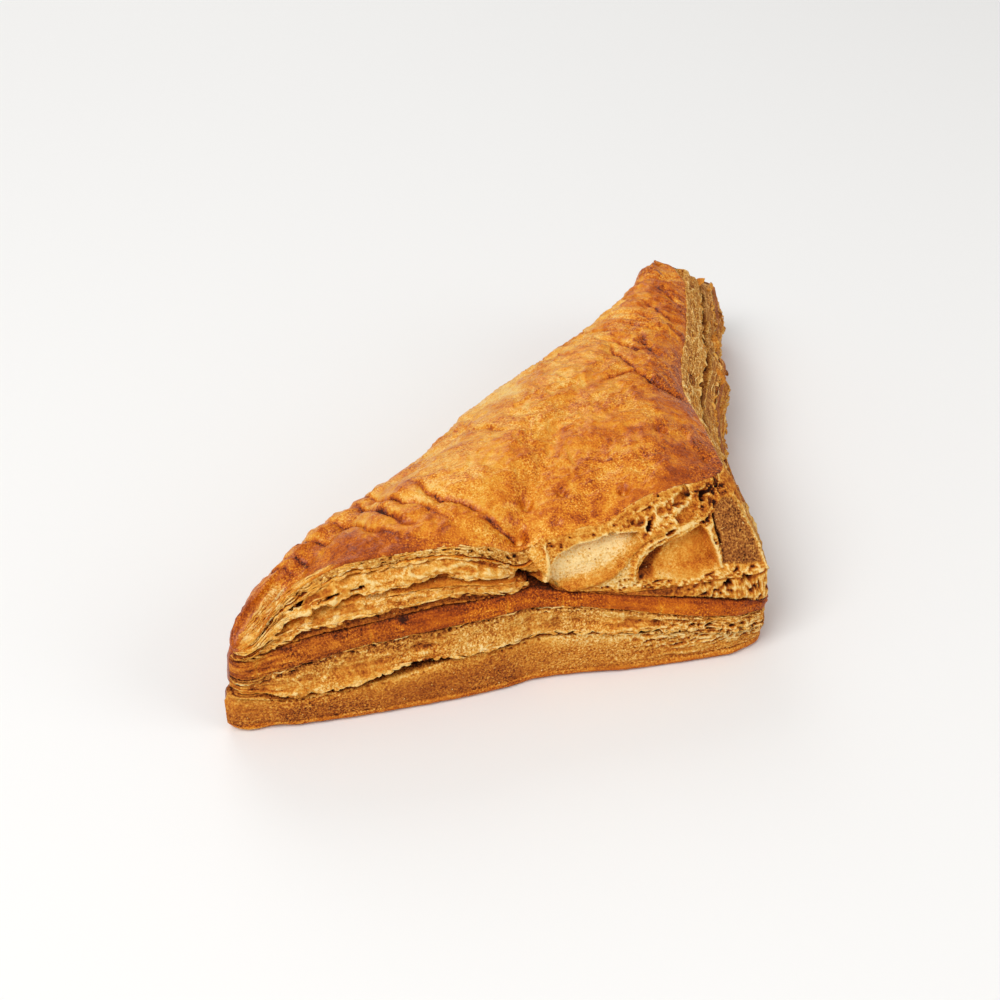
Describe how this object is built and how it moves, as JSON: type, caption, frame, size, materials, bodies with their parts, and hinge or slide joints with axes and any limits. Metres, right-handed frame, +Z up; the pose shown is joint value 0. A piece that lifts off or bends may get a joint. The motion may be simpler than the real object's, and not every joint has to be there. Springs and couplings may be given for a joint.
{
  "type": "savoury puff",
  "caption": "Baked triangular savoury puff: layered pastry folded over a filling, two open cut sides, a rounded fold and a glazed domed crust, resting on a flat base.",
  "frame": {"origin": "bottom centre of the bounding box, on the surface that the puff stands on", "axes": "+X along the front cut side, the longest extent; +Y towards the far tip; +Z up, the shortest extent"},
  "size_m": [0.1374, 0.1244, 0.0382],
  "materials": {
    "crust": "baked and glazed pastry, slightly shiny on top"
  },
  "bodies": {
    "root": {"puff": "crust"}
  },
  "joints": []
}
